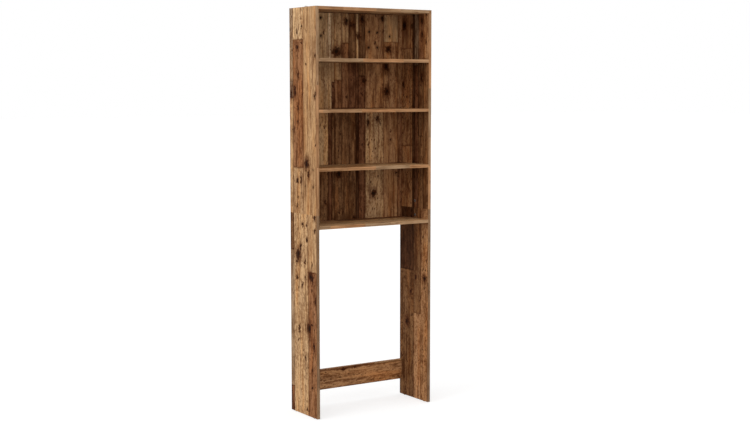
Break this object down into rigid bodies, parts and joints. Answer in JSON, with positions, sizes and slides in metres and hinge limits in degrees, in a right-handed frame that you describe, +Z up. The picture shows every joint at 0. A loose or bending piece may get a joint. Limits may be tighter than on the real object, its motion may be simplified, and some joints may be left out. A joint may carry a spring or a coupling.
{
  "type": "washing machine cabinet",
  "caption": "Tall narrow open cabinet that stands over a washing machine: shelves with a back above, an open bay below, in reclaimed-plank decor board.",
  "frame": {"origin": "on the floor, under the middle of the cabinet", "axes": "+Z up, +X to the right seen from the open front, +Y to the rear, towards the wall"},
  "size_m": [0.64, 0.24, 1.914],
  "materials": {
    "board_decor": "printed reclaimed-plank decor on chipboard",
    "edging_decor": "printed wood-grain edging",
    "back_decor": "printed reclaimed-plank decor on thin fibreboard",
    "cam_zinc": "die-cast zinc",
    "bolt_steel": "zinc-plated steel",
    "dowel_beech": "plain beech",
    "nail_steel": "bright steel",
    "bracket_steel": "zinc-plated steel",
    "glide_plastic": "dark brown polyethylene"
  },
  "bodies": {
    "root": {"back_panel_nails": "nail_steel", "bottom_shelf": "board_decor", "bottom_shelf_bolts": "bolt_steel", "bottom_shelf_cams": "cam_zinc", "bottom_shelf_dowels": "dowel_beech", "bottom_shelf_edging": "edging_decor", "bracket_screws": "bolt_steel", "floor_glides": "glide_plastic", "lower_back_panel": "back_decor", "lower_left_side": "board_decor", "lower_left_side_edging": "edging_decor", "lower_right_side": "board_decor", "lower_right_side_edging": "edging_decor", "lower_shelf": "board_decor", "lower_shelf_dowels": "dowel_beech", "lower_shelf_edging": "edging_decor", "middle_shelf": "board_decor", "middle_shelf_bolts": "bolt_steel", "middle_shelf_cams": "cam_zinc", "middle_shelf_dowels": "dowel_beech", "middle_shelf_edging": "edging_decor", "rail_bolts": "bolt_steel", "rail_cams": "cam_zinc", "rail_dowels": "dowel_beech", "rail_edging": "edging_decor", "rear_rail": "board_decor", "seam_bolts": "bolt_steel", "seam_cams": "cam_zinc", "seam_dowels": "dowel_beech", "top_board": "board_decor", "top_board_bolts": "bolt_steel", "top_board_cams": "cam_zinc", "top_board_dowels": "dowel_beech", "top_board_edging": "edging_decor", "upper_back_panel": "back_decor", "upper_left_side": "board_decor", "upper_left_side_edging": "edging_decor", "upper_right_side": "board_decor", "upper_right_side_edging": "edging_decor", "upper_shelf": "board_decor", "upper_shelf_dowels": "dowel_beech", "upper_shelf_edging": "edging_decor", "wall_bracket_left": "bracket_steel", "wall_bracket_right": "bracket_steel"}
  },
  "joints": []
}
